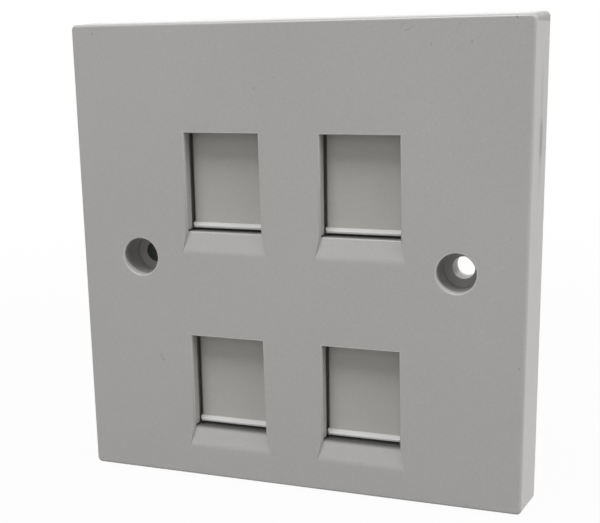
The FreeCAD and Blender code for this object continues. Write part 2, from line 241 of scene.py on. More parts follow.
class Network:
    """The nodes of a material or a world, under construction."""

    def __init__(self, owner: bpy.types.Material | bpy.types.World) -> None:
        """Start with no nodes.

        Args:
            owner: The material or world that the nodes belong to.
        """
        owner.use_nodes = True
        self.owner = owner
        self.tree = owner.node_tree
        self.tree.nodes.clear()

    def node(
        self, kind: str, settings: dict | None = None, inputs: dict | None = None, output: int | str = 0
    ) -> Signal:
        """Add a node, set it up and feed it.

        Args:
            kind: Type of the node.
            settings: Properties of the node, set before its inputs.
            inputs: Values or signals by input name or number.
            output: The output to return, by name or number.

        Returns:
            The chosen output as a signal.
        """
        made = self.tree.nodes.new(kind)
        for key, value in (settings or {}).items():
            setattr(made, key, value)
        for key, value in (inputs or {}).items():
            if isinstance(value, Signal):
                self.tree.links.new(value.socket, made.inputs[key])
            else:
                made.inputs[key].default_value = value
        return Signal(self, made.outputs[output])

    def place_mm(self) -> Signal:
        """Object coordinates in millimetres."""
        metres = self.node("ShaderNodeTexCoord", output="Object")
        settings = {"operation": "SCALE"}
        return self.node("ShaderNodeVectorMath", settings, {"Vector": metres, "Scale": 1 / MM})

    def axes(self, vector: Signal) -> tuple[Signal, Signal, Signal]:
        """The three parts of a vector."""
        first = self.node("ShaderNodeSeparateXYZ", inputs={0: vector})
        return tuple(Signal(self, first.socket.node.outputs[i]) for i in range(3))

    def noise(self, place: Signal, scale: float, detail: float = 3.0, roughness: float = 0.5) -> Signal:
        """Fractal noise between 0 and 1.

        Args:
            place: Where the noise is read.
            scale: Cycles per unit of place.
            detail: Number of octaves.
            roughness: Strength of each finer octave.

        Returns:
            The noise as a signal.
        """
        inputs = {"Vector": place, "Scale": scale, "Detail": detail, "Roughness": roughness}
        return self.node("ShaderNodeTexNoise", inputs=inputs)

    def mix(self, factor: Signal | Number, low: "Signal | tuple", high: "Signal | tuple") -> Signal:
        """Colour between low and high.

        Args:
            factor: 0 gives low and 1 gives high.
            low: First colour.
            high: Second colour.

        Returns:
            The mixed colour.
        """
        inputs = {MIX_FACTOR: factor, MIX_LOW: low, MIX_HIGH: high}
        return self.node("ShaderNodeMix", {"data_type": "RGBA"}, inputs, MIX_RESULT)

    def bump(
        self, height: Signal, distance: float, strength: float, under: Signal | None = None
    ) -> Signal:
        """Normal tilted by a height field.

        Args:
            height: Height between 0 and 1.
            distance: Real height, in metres, of a step of 1.
            strength: Share of the effect that is kept.
            under: Normal that this bump is laid over.

        Returns:
            The new normal.
        """
        inputs = {"Height": height, "Distance": distance, "Strength": strength}
        if under is not None:
            inputs["Normal"] = under
        return self.node("ShaderNodeBump", inputs=inputs)

    def surface(self, **inputs: "Signal | Number | tuple") -> bpy.types.Material:
        """Close the material with a Principled surface.

        Args:
            **inputs: Inputs of the surface, with spaces in their names as underscores.

        Returns:
            The finished material.
        """
        named = {key.replace("_", " "): value for key, value in inputs.items()}
        self.close(self.node("ShaderNodeBsdfPrincipled", inputs=named))
        return self.owner

    def seen(self) -> Signal:
        """1 on rays that show the backdrop: straight, mirrored or through glass; 0 on others."""
        path = self.node("ShaderNodeLightPath").socket.node.outputs
        straight, mirrored, through = (
            Signal(self, path[name]) for name in ("Is Camera Ray", "Is Glossy Ray", "Is Transmission Ray")
        )
        return straight.largest(mirrored).largest(through)

    def close(self, shaded: Signal) -> None:
        """Send a closure to the surface of the material or world."""
        owner = "World" if isinstance(self.owner, bpy.types.World) else "Material"
        end = self.tree.nodes.new("ShaderNodeOutput" + owner)
        self.tree.links.new(shaded.socket, end.inputs["Surface"])


# ---------------------------------------------------------------------------
# Finishes
# ---------------------------------------------------------------------------


@dataclass(frozen=True)
class Speck:
    """A straight mark on the front face: a dust speck, a nick or a short scratch.

    Attributes:
        x_mm: Middle of the mark, across.
        z_mm: Middle of the mark, up.
        half_length_mm: Half its length.
        half_width_mm: Half its width.
        turn_deg: Turn of its length from level.
        strength: How far it hides the plastic, from 0 to 1.
    """

    x_mm: float
    z_mm: float
    half_length_mm: float
    half_width_mm: float
    turn_deg: float = 0.0
    strength: float = 0.8

    def mask(self, x: Signal, z: Signal) -> Signal:
        """Soft ellipse, 1 inside the mark and 0 outside."""
        level, rise = math.cos(math.radians(self.turn_deg)), math.sin(math.radians(self.turn_deg))
        along = ((x - self.x_mm) * level + (z - self.z_mm) * rise) / self.half_length_mm
        across = ((z - self.z_mm) * level - (x - self.x_mm) * rise) / self.half_width_mm
        return (along * along + across * across).ramp(*SPECK_BORDER) * self.strength


@dataclass(frozen=True)
class Curl:
    """A curved hair-thin mark on the front face.

    Attributes:
        x_mm: Centre of its circle, across.
        z_mm: Centre of its circle, up.
        radius_mm: Radius of its circle.
        middle_deg: Direction of the middle of its arc, from level, anticlockwise.
        half_span_deg: Half the angle that the arc covers.
        half_width_mm: Half the width of the line.
        strength: How far it hides the plastic, from 0 to 1.
    """

    x_mm: float
    z_mm: float
    radius_mm: float
    middle_deg: float
    half_span_deg: float
    half_width_mm: float = 0.07
    strength: float = 0.6

    def mask(self, x: Signal, z: Signal) -> Signal:
        """Thin ring, kept only on the stretch that faces the middle direction."""
        across, up = x - self.x_mm, z - self.z_mm
        distance = (across * across + up * up).root()
        outer, inner = (share * self.half_width_mm for share in CURL_BORDER)
        ring = (distance - self.radius_mm).size().ramp(outer, inner)
        middle = math.radians(self.middle_deg)
        facing = (across * math.cos(middle) + up * math.sin(middle)) / distance.largest(SHORTEST_MM)
        edge = math.cos(math.radians(self.half_span_deg))
        start, full = (edge + past for past in CURL_ENDS)
        return ring * facing.ramp(start, full) * self.strength


@dataclass(frozen=True, kw_only=True)
class Tint(ABC):
    """A stretch of plastic with a painted tone of its own, standing in for light, shade or a reflection.

    Attributes:
        strength: How far the tone hides the plastic, from 0 to 1.
        tone: Linear colour.
        dulling: How much it adds to the roughness.
    """

    strength: float
    tone: Colour = SHADE_TONE
    dulling: float = 0.0

    @abstractmethod
    def shape(self, x: Signal, y: Signal, z: Signal) -> Signal:
        """1 where the tint lies and 0 elsewhere, for a place in millimetres."""

    def mask(self, x: Signal, y: Signal, z: Signal) -> Signal:
        """The tint's shape at its strength, for a place in millimetres."""
        return self.shape(x, y, z) * self.strength


@dataclass(frozen=True)
class Flanks(Tint):
    """Painted shade on the hidden sides of the shutters, which only a slit opens to.

    Attributes:
        half_width_mm: Half the width of the port that stays clear.
        start_mm: Depth behind the front face at which the flanks begin.
        border_mm: Width of their soft border.
        onset_mm: Depth over which they set in.
    """

    half_width_mm: float = 7.0
    start_mm: float = 3.9
    border_mm: float = 0.1
    onset_mm: float = 0.2

    def shape(self, x: Signal, y: Signal, z: Signal) -> Signal:
        """1 outside the port's clear width and deeper than the start, 0 elsewhere."""
        beside = (x.size() - PORT_X_MM).size()
        start = FACE_Y_MM + self.start_mm
        flank = beside.ramp(self.half_width_mm, self.half_width_mm + self.border_mm)
        return flank * y.ramp(start, start + self.onset_mm)


@dataclass(frozen=True)
class SillShadow(Tint):
    """Painted shadow and shade at a sill, where the lip of its shutter ends, reaching down the ramp.

    Attributes:
        sill_mm: Height of the sill.
        below_mm: How far it reaches down the ramp.
        above_mm: How far it reaches up behind the lip.
        half_width_mm: Half the width of the sill.
        start_mm: Depth behind the front face at which it begins.
        border_mm: Height of its soft border, which is twice as wide at the sides.
        onset_mm: Depth over which it sets in.
    """

    sill_mm: float
    below_mm: float
    above_mm: float = 0.3
    half_width_mm: float = 7.4
    start_mm: float = 0.45
    border_mm: float = 0.1
    onset_mm: float = 0.3

    def shape(self, x: Signal, y: Signal, z: Signal) -> Signal:
        """1 at the sill, fading down the ramp, 0 elsewhere."""
        beside = (x.size() - PORT_X_MM).size()
        across = beside.ramp(self.half_width_mm + 2 * self.border_mm, self.half_width_mm)
        top = self.sill_mm + self.above_mm
        up = z.ramp(self.sill_mm - self.below_mm, self.sill_mm + self.border_mm)
        up = up * z.ramp(top + self.border_mm, top)
        start = FACE_Y_MM + self.start_mm
        return across * up * y.ramp(start, start + self.onset_mm)


@dataclass(frozen=True)
class LipLight(Tint):
    """Painted light on the shutters' lips, which face up towards the lamp.

    Attributes:
        shutter_mm: Depth behind the front face of the shutters, which the lips stand out from.
        onset_mm: Heights above the shutters between which it sets in.
    """

    shutter_mm: float = 3.2
    onset_mm: tuple[float, float] = (0.02, 0.2)

    def shape(self, x: Signal, y: Signal, z: Signal) -> Signal:
        """1 on what stands out from the shutters' faces, 0 elsewhere."""
        start, full = (FACE_Y_MM + self.shutter_mm - height for height in self.onset_mm)
        return y.ramp(start, full)


@dataclass(frozen=True)
class RimHighlights(Tint):
    """Painted highlights: pale lines where the front face turns into the apertures and the counterbores.

    Attributes:
        sills_mm: Heights of the sills.
        half_width_mm: Half the width of an aperture.
        height_mm: Height of an aperture.
        hole_radius_mm: Radius of a counterbore's rim.
        hole_share: Strength round a counterbore, as a share of that round an aperture.
        width_mm: Width of the line, whose outer half is soft.
        onset_mm: Distances from the opening between which the line sets in.
        depths_mm: Depths behind the front face between which it ends.
    """

    sills_mm: tuple[float, ...]
    half_width_mm: float = 7.2
    height_mm: float = 17.95
    hole_radius_mm: float = 3.55
    hole_share: float = 0.6
    width_mm: float = 0.3
    onset_mm: tuple[float, float] = (-0.05, 0.02)
    depths_mm: tuple[float, float] = (0.35, 0.6)

    def shape(self, x: Signal, y: Signal, z: Signal) -> Signal:
        """1 within the line's width outside each opening, 0 elsewhere.

        The distance from an aperture is the larger of its distances past the middle across
        and up, each less half the aperture; the distance from a hole is that past its radius.

        Args:
            x: Place across, in millimetres.
            y: Place in depth, in millimetres.
            z: Place up, in millimetres.

        Returns:
            The lines as a signal.
        """
        across = x.size() - HOLE_X_MM
        line = self.line((across * across + z * z).root() - self.hole_radius_mm) * self.hole_share
        for sill in self.sills_mm:
            beside = (x.size() - PORT_X_MM).size() - self.half_width_mm
            above = (z - (sill + self.height_mm / 2)).size() - self.height_mm / 2
            line = line.largest(self.line(beside.largest(above)))
        ending, gone = self.depths_mm
        return line * y.ramp(FACE_Y_MM + gone, FACE_Y_MM + ending)

    def line(self, distance: Signal) -> Signal:
        """1 where a distance lies between 0 and the line's width, 0 elsewhere."""
        return distance.ramp(*self.onset_mm) * distance.ramp(self.width_mm, self.width_mm / 2)


@dataclass(frozen=True)
class Patch(Tint):
    """A box with soft borders.

    Attributes:
        middle_mm: Its middle.
        half_mm: Half its size along each axis.
        soft_mm: How far its border fades along each axis.
    """

    middle_mm: tuple[float, float, float]
    half_mm: tuple[float, float, float]
    soft_mm: tuple[float, float, float]

    def shape(self, x: Signal, y: Signal, z: Signal) -> Signal:
        """Product of the soft steps along the three axes."""
        return self.step(x, 0) * self.step(y, 1) * self.step(z, 2)

    def step(self, place: Signal, axis: int) -> Signal:
        """1 within the box along one axis, 0 past its soft border."""
        border = self.half_mm[axis]
        return (place - self.middle_mm[axis]).size().ramp(border + self.soft_mm[axis], border)


@dataclass(frozen=True)
class HoleRing(Tint):
    """A stretch of the inner wall of a fixing hole.

    Attributes:
        hole_x_mm: Place of the hole, across.
        radii_mm: Smallest and largest radius that it covers.
        depths_mm: Depths behind the front face between which it sets in.
        slope: How much deeper it begins for each millimetre below the hole's middle.
        rim_mm: Depth of the rim's round, which stays clear.
        border_mm: Width of its soft border.
    """

    hole_x_mm: float
    radii_mm: tuple[float, float]
    depths_mm: tuple[float, float]
    slope: float = 0.0
    rim_mm: float = 0.2
    border_mm: float = 0.1

    def shape(self, x: Signal, y: Signal, z: Signal) -> Signal:
        """1 in the ring between the radii, past the depths, 0 elsewhere."""
        low, high = self.radii_mm
        across = x - self.hole_x_mm
        radius = (across * across + z * z).root()
        ring = radius.ramp(low - self.border_mm, low) * radius.ramp(high + self.border_mm, high)
        depth = y - FACE_Y_MM
        inside = depth.ramp(self.rim_mm, 2 * self.rim_mm)
        return ring * inside * (depth + z * self.slope).ramp(*self.depths_mm)


def sill_height(row: Row) -> float:
    """Height of a row's sill in millimetres, from the foot of a shutter, which hangs below it."""
    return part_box(f"shutter_{row.value}_left")[0].z / MM + SHUTTER_FOOT_MM


def shaded_wall(hole_x_mm: float, slope: float) -> HoleRing:
    """Shade painted on the part of a counterbore's wall that light from above doesn't reach."""
    return HoleRing(hole_x_mm, WALL_RADII_MM, (0.1, 0.6), slope, strength=0.48, dulling=SHADE_DULLING)


def pale_wall(hole_x_mm: float) -> HoleRing:
    """Painted light: a paler tone on the deep part of a counterbore's wall, so that it doesn't turn too
    dark.
    """
    return HoleRing(hole_x_mm, WALL_RADII_MM, (1.8, 4.5), strength=0.55, tone=PALE_TONE)


# Painted dark reflections on the plate's right side, and a thin darker line near its front edge.
SIDE_DARK_REFLECTION = Patch((42.8, -3.9, 22.2), (0.8, 0.5, 1.8), (0.2, 0.9, 2.6), strength=0.5)
SIDE_DARK_REFLECTION_HALO = Patch((42.8, -4.2, 24.0), (0.8, 0.3, 7.0), (0.2, 1.4, 6.0), strength=0.16)
SIDE_THIN_LINE = Patch((42.6, -9.1, 22.0), (0.6, 0.08, 5.0), (0.2, 0.2, 4.0), strength=0.3)
# Painted dark reflection along the top right corner.
CORNER_DARK_REFLECTION = Patch((42.8, -4.0, 42.4), (0.9, 4.6, 0.9), (0.6, 0.8, 0.35), strength=0.42)
# Painted light on the top, towards the back.
LIT_TOP = Patch((0.0, -1.6, 42.9), (39.0, 2.0, 0.5), (3.0, 5.0, 0.2), strength=0.5, tone=PALE_TONE)
# Painted shade along the top, near the front edge.
TOP_FRONT_SHADE = Patch((0.0, -9.6, 42.7), (42.0, 0.3, 0.45), (0.5, 2.2, 0.2), strength=0.16)
# Painted reflection of the white backdrop low in the right fixing bore.
LIT_BORE = Patch(
    (HOLE_X_MM, -1.9, -1.8), (1.3, 1.8, 0.6), (0.4, 0.2, 0.5), strength=1.0, tone=BORE_LIGHT_TONE
)
SHADED_BORE = Patch((HOLE_X_MM - 1.8, -1.9, 0.8), (0.5, 1.8, 1.2), (0.4, 0.2, 0.8), strength=0.55)
# Painted shade filling the left fixing bore.
DARK_BORE = HoleRing(
    -HOLE_X_MM, (0.0, 2.1), (6.0, 6.2), strength=1.0, tone=BORE_TONE, dulling=SHADE_DULLING
)
# The painted light, shade and reflections on the plate's walls.
WALL_LIGHT_AND_SHADE: tuple[Tint, ...] = (
    SIDE_DARK_REFLECTION,
    SIDE_DARK_REFLECTION_HALO,
    SIDE_THIN_LINE,
    CORNER_DARK_REFLECTION,
    LIT_TOP,
    TOP_FRONT_SHADE,
    shaded_wall(-HOLE_X_MM, slope=0.45),
    shaded_wall(HOLE_X_MM, slope=0.38),
    pale_wall(-HOLE_X_MM),
    pale_wall(HOLE_X_MM),
    DARK_BORE,
    LIT_BORE,
    SHADED_BORE,
)
FACE_MARKS: tuple[Speck | Curl, ...] = (
    Speck(-37.91, 40.72, 0.17, 0.15, strength=0.55),
    Speck(-6.25, 30.95, 0.30, 0.13, 20, 0.28),
    Speck(-2.61, 32.69, 0.17, 0.09, 70, 0.2),
    Speck(-4.74, 27.91, 0.15, 0.09, 80, 0.25),
    Speck(25.42, 37.95, 0.30, 0.09, 68, 0.42),
    Speck(32.15, 38.25, 0.34, 0.11, -68, 0.32),
    Speck(31.75, 37.95, 0.25, 0.08, 20, 0.12),
    Speck(30.16, 41.06, 0.16, 0.12, 20, 0.25),
    Speck(39.30, 41.85, 0.28, 0.14, -50, 0.55),
    Speck(39.32, 6.27, 0.16, 0.1, 60, 0.3),
    Speck(41.29, -15.72, 0.22, 0.1, -70, 0.4),
    Curl(21.2, 40.35, 0.95, 130, 42, 0.06, 0.25),
    Curl(20.9, 42.3, 2.1, -68, 22, 0.06, 0.28),
    Curl(-26.05, -19.1, 0.72, 215, 58, 0.08, 0.45),
    Curl(-29.4, -34.95, 0.75, 220, 55, 0.07, 0.2),
)


@dataclass(frozen=True)
class Band:
    """A band of noise in a moulded plastic.

    Attributes:
        scale: Cycles per millimetre.
        octaves: Number of octaves.
        falloff: Strength of each finer octave.
        tone_swing: How far it moves the tone.
        gloss_swing: How far it moves the roughness.
        relief_mm: Height of its relief.
        relief_share: Share of that relief which shows.
    """

    scale: float
    octaves: float
    falloff: float
    tone_swing: float
    gloss_swing: float = 0.0
    relief_mm: float = 0.0
    relief_share: float = 0.0

    def read(self, network: Network, place: Signal) -> Signal:
        """The band's noise at a place."""
        return network.noise(place, self.scale, self.octaves, self.falloff)


@dataclass(frozen=True)
class MouldedPlastic:
    """Satin light grey moulded plastic, with a faint tool grain, handling marks, and painted light and
    shade.

    Attributes:
        name: Name of the material.
        colour: Linear colour of the plastic.
        gloss_roughness: Mean roughness.
        tone_depth: Share by which the tone swings.
        clouds: Slow clouds of tone and gloss.
        mottle: Mottling of tone, gloss and relief.
        fine: Fine grain of tone and relief.
        marks: Specks and scratches, on pieces that show them.
        tints: Stretches of painted light and shade, each laid over those before it.
    """

    name: str
    colour: tuple[float, float, float]
    gloss_roughness: float = 0.36
    tone_depth: float = 0.095
    clouds: Band = Band(0.035, 4.0, 0.5, 0.5, gloss_swing=0.12)
    mottle: Band = Band(1.7, 3.0, 0.6, 0.6, gloss_swing=0.08, relief_mm=0.0022, relief_share=0.8)
    fine: Band = Band(3.6, 2.0, 0.5, 0.9, relief_mm=0.0011, relief_share=0.6)
    marks: tuple[Speck | Curl, ...] = ()
    tints: tuple[Tint, ...] = ()

    def material(self) -> bpy.types.Material:
        """Build the material.

        Colour is the base tone, swung by the three bands of noise, then overlaid with painted light and
        shade from the tints, and marked. The relief is the mottling with the fine grain over it. The
        roughness follows the clouds and the mottling, and rises where a tint or a mark dulls the plastic.

        Returns:
            The finished material.
        """
        network = Network(bpy.data.materials.new(self.name))
        place = network.place_mm()
        x, y, z = network.axes(place)
        bands = (self.clouds, self.mottle, self.fine)
        clouds, mottle, fine = (band.read(network, place) for band in bands)
        from_clouds, from_mottle, from_fine = clouds - MEAN_NOISE, mottle - MEAN_NOISE, fine - MEAN_NOISE
        tone = MEAN_NOISE + from_clouds * self.clouds.tone_swing
        tone = tone + from_mottle * self.mottle.tone_swing + from_fine * self.fine.tone_swing
        colour = network.mix(tone, self.scaled(1 - self.tone_depth), self.scaled(1 + self.tone_depth))
        roughness = from_clouds * self.clouds.gloss_swing + from_mottle * self.mottle.gloss_swing
        roughness = roughness + self.gloss_roughness
        # Painted light and shade, laid over the plastic's own tone.
        for tint in self.tints:
            mask = tint.mask(x, y, z)
            colour = network.mix(mask, colour, tint.tone)
            if tint.dulling > 0:
                roughness = roughness + mask * tint.dulling
        if self.marks:
            stain = self.mark_mask(x, y, z)
            colour = network.mix(stain, colour, MARK_TONE)
            roughness = roughness + stain * MARK_DULLING
        grain = network.bump(mottle, self.mottle.relief_mm * MM, self.mottle.relief_share)
        grain = network.bump(fine, self.fine.relief_mm * MM, self.fine.relief_share, grain)
        return network.surface(Base_Color=colour, Roughness=roughness, Normal=grain)

    def scaled(self, share: float) -> Colour:
        """The plastic's colour times a share."""
        return tuple(part * share for part in self.colour) + (1.0,)

    def mark_mask(self, x: Signal, y: Signal, z: Signal) -> Signal:
        """All the marks together, on the front face only.

        Args:
            x: Place across, in millimetres.
            y: Place in depth, in millimetres.
            z: Place up, in millimetres.

        Returns:
            Signal that is 0 off the marks.
        """
        total = self.marks[0].mask(x, z)
        for mark in self.marks[1:]:
            total = total.largest(mark.mask(x, z))
        ending, gone = MARK_DEPTHS_MM
        return total * y.ramp(FACE_Y_MM + gone, FACE_Y_MM + ending)


@dataclass(frozen=True)
class DrawnSteel:
    """Bright steel wire or plated steel.

    Attributes:
        name: Name of the material.
        colour: Linear colour of the metal.
        gloss_roughness: Mean roughness.
        streak_scale: Cycles per millimetre of the fine drawing marks.
        streak_octaves: Number of octaves of the drawing marks.
        streak_falloff: Strength of each finer octave.
        dulled: Share of the colour that the dullest marks keep.
        gloss_swing: How far the marks move the roughness.
        relief_mm: Height of their relief.
        relief_share: Share of that relief which shows.
    """

    name: str
    colour: Colour
    gloss_roughness: float = 0.28
    streak_scale: float = 3.0
    streak_octaves: float = 4.0
    streak_falloff: float = 0.65
    dulled: float = 0.82
    gloss_swing: float = 0.2
    relief_mm: float = 0.002
    relief_share: float = 0.6

    def material(self) -> bpy.types.Material:
        """Build the material: metal whose roughness and tone follow fine noise."""
        network = Network(bpy.data.materials.new(self.name))
        place = network.place_mm()
        streaks = network.noise(place, self.streak_scale, self.streak_octaves, self.streak_falloff)
        dull = tuple(part * self.dulled for part in self.colour[:3]) + (1.0,)
        colour = network.mix(streaks, dull, self.colour)
        roughness = (streaks - MEAN_NOISE) * self.gloss_swing + self.gloss_roughness
        normal = network.bump(streaks, self.relief_mm * MM, self.relief_share)
        return network.surface(Base_Color=colour, Metallic=1.0, Roughness=roughness, Normal=normal)


# ---------------------------------------------------------------------------
# Meshes
# ---------------------------------------------------------------------------


def new_piece(name: str, points: np.ndarray, faces: np.ndarray | list) -> bpy.types.Object:
    """Make an object from arrays.

    Args:
        name: Name of the piece.
        points: Corners, one row each, in metres.
        faces: Corner numbers of each face.

    Returns:
        The object, at the origin.
    """
    mesh = bpy.data.meshes.new(name)
    mesh.from_pydata(points.tolist(), [], [list(map(int, face)) for face in faces])
    mesh.polygons.foreach_set("use_smooth", np.full(len(mesh.polygons), True))
    mesh.update()
    piece = bpy.data.objects.new(name, mesh)
    bpy.context.scene.collection.objects.link(piece)
    return piece


def grid_faces(rows: int, columns: int, wrap: bool) -> np.ndarray:
    """Quads between neighbours on a grid of points stored row after row.

    Args:
        rows: Number of rows.
        columns: Number of points in a row.
        wrap: Whether the last column joins the first.

    Returns:
        One row of four corner numbers for each quad.
    """
    row = np.arange(rows - 1)[:, None] * columns
    column = np.arange(columns if wrap else columns - 1)[None, :]
    following = (column + 1) % columns
    quads = (row + column, row + following, row + columns + following, row + columns + column)
    return np.stack(quads, axis=-1).reshape(-1, 4)


def tube(name: str, path: np.ndarray, radius: np.ndarray, sides: int) -> bpy.types.Object:
    """Closed tube round a path.

    Each ring lies across the path: its points are the path's point plus the radius times
    cos(t) along the ring's outward direction and sin(t) along the direction square to that.

    Args:
        name: Name of the piece.
        path: Points of the middle line, one row each.
        radius: Radius at each point.
        sides: Points in a ring.

    Returns:
        The object.
    """
    along = np.gradient(path, axis=0)
    along /= np.linalg.norm(along, axis=1, keepdims=True)
    centre = path.mean(axis=0)
    outward = path - centre
    outward[:, 2] = 0.0
    outward -= (outward * along).sum(axis=1, keepdims=True) * along
    outward /= np.linalg.norm(outward, axis=1, keepdims=True)
    square = np.cross(along, outward)
    turn = np.linspace(0, 2 * np.pi, sides, endpoint=False)
    ring = np.cos(turn)[None, :, None] * outward[:, None] + np.sin(turn)[None, :, None] * square[:, None]
    points = path[:, None] + radius[:, None, None] * ring
    count = len(path)
    faces = grid_faces(count, sides, True).tolist()
    faces.append(list(range(sides))[::-1])
    faces.append(list(range((count - 1) * sides, count * sides)))
    return new_piece(name, points.reshape(-1, 3), faces)


def moulded_normals(points: np.ndarray, corners: np.ndarray, limit_deg: float) -> np.ndarray:
    """Normals that shade fillets as round and flats as flat.

    Each corner takes the sum of the normals of the triangles that meet at its point and turn
    from its own by less than the limit. A triangle's normal counts by the area of the whole
    flat that it lies in, so wide flats keep their own normal up to their edge, and the narrow
    bevel between two flats runs smoothly from the one to the other.

    Args:
        points: Merged points, one row each.
        corners: Point numbers, one row for each triangle.
        limit_deg: Largest turn that is still shaded as round.

    Returns:
        Three normals for each triangle, one row each, in the order of its corners.
    """
    first, second, third = (points[corners[:, i]] for i in range(3))
    normals = np.cross(second - first, third - first)
    doubled = np.linalg.norm(normals, axis=1)
    normals /= np.maximum(doubled, SMALLEST_AREA)[:, None]
    offset = (normals * first).sum(axis=1)
    plane = np.column_stack((normals * NORMAL_STEPS, offset / MM * OFFSET_STEPS))
    plane = np.round(plane).astype(np.int64)
    _, flat = np.unique(plane, axis=0, return_inverse=True)
    weight = np.bincount(flat.ravel(), weights=doubled)[flat.ravel()]

    at_point = np.argsort(corners.ravel(), kind="stable")
    sharing = np.bincount(corners.ravel(), minlength=len(points))
    start = np.cumsum(sharing) - sharing
    count = sharing[corners.ravel()[at_point]]
    own = np.repeat(at_point, count)
    within = np.arange(len(own)) - np.repeat(np.cumsum(count) - count, count)
    other = at_point[np.repeat(start[corners.ravel()[at_point]], count) + within] // 3
    close = (normals[own // 3] * normals[other]).sum(axis=1) > math.cos(math.radians(limit_deg))
    pull = normals[other] * (weight[other] * close)[:, None]
    parts = [np.bincount(own, weights=pull[:, i], minlength=corners.size) for i in range(3)]
    total = np.stack(parts, axis=1)
    return total / np.linalg.norm(total, axis=1, keepdims=True)


def moulded_copy(node: str, limit_deg: float) -> bpy.types.Object:
    """Copy a CAD piece, merge its loose triangles and shade its small rounds as round.

    Args:
        node: The CAD node.
        limit_deg: Largest turn that is still shaded as round.

    Returns:
        The new object, which stands for the node.
    """
    mesh = frame["nodes"][node].data.copy()
    mesh.name = node + "_dressed"
    mesh.materials.clear()
    work = bmesh.new()
    work.from_mesh(mesh)
    bmesh.ops.remove_doubles(work, verts=work.verts, dist=MERGE_DISTANCE)
    bmesh.ops.triangulate(work, faces=work.faces)
    work.to_mesh(mesh)
    work.free()
    points = np.empty(len(mesh.vertices) * 3)
    mesh.vertices.foreach_get("co", points)
    corners = np.empty(len(mesh.loops), dtype=np.int64)
    mesh.loops.foreach_get("vertex_index", corners)
    mesh.polygons.foreach_set("use_smooth", np.full(len(mesh.polygons), True))
    normals = moulded_normals(points.reshape(-1, 3), corners.reshape(-1, 3), limit_deg)
    mesh.normals_split_custom_set(normals.tolist())
    piece = bpy.data.objects.new(node + "_dressed", mesh)
    bpy.context.scene.collection.objects.link(piece)
    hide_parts(node)
    return piece


def finish_piece(piece: bpy.types.Object, body: str, material: bpy.types.Material) -> None:
    """Dress a piece and hang it on its body.

    Args:
        piece: The piece.
        body: Name of the CAD body that it moves with.
        material: Its finish.
    """
    piece.data.materials.append(material)
    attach(piece, body)
    LOG.info("%s: %d faces, rides on %s", piece.name, len(piece.data.polygons), body)


# ---------------------------------------------------------------------------
# Sub-assemblies
# ---------------------------------------------------------------------------


@dataclass
class KeptPieces:
    """Pieces that keep the shapes of their CAD nodes.

    Attributes:
        round_deg: Largest turn between faces that is shaded as a round.
    """

    round_deg: float = 50.0

    def dress(self, node: str, body: str, slot: str, material: bpy.types.Material) -> bpy.types.Object:
        """Copy one node, finish the copy and hang it on its body."""
        piece = moulded_copy(node, self.round_deg)
        finish_piece(piece, body, material)
        return piece


@dataclass
class FrontMoulding(KeptPieces):
    """The one-piece front moulding."""

    def build(self, finish: MouldedPlastic) -> bpy.types.Object:
        """Make and dress the moulding."""
        return self.dress("faceplate", PLATE_BODY, "plate_plastic", finish.material())


@dataclass
class Shutters(KeptPieces):
    """The four sliding shutters."""

    def build(self, finish: MouldedPlastic) -> list[bpy.types.Object]:
        """Make and dress every shutter, each on its own body."""
        material = finish.material()
        nodes = [f"shutter_{row.value}_{side.value}" for row in Row for side in Side]
        return [self.dress(node, node, "shutter_plastic", material) for node in nodes]


@dataclass
class PortFrames(KeptPieces):
    """The two frames behind the panel that hold the shutters and take the jacks."""

    round_deg: float = 40.0

    def build(self, finish: MouldedPlastic) -> list[bpy.types.Object]:
        """Make and dress both frames."""
        material = finish.material()
        nodes = [f"port_frame_{row.value}" for row in Row]
        return [self.dress(node, PLATE_BODY, "frame_plastic", material) for node in nodes]


@dataclass
class FrameScrews(KeptPieces):
    """The six small self-tapping screws that hold the port frames."""

    round_deg: float = 35.0

    def build(self, finish: DrawnSteel) -> list[bpy.types.Object]:
        """Make and dress every screw."""
        material = finish.material()
        nodes = [f"frame_screw_{row.value}_{place.value}" for row in Row for place in ScrewPlace]
        return [self.dress(node, PLATE_BODY, "screw_steel", material) for node in nodes]


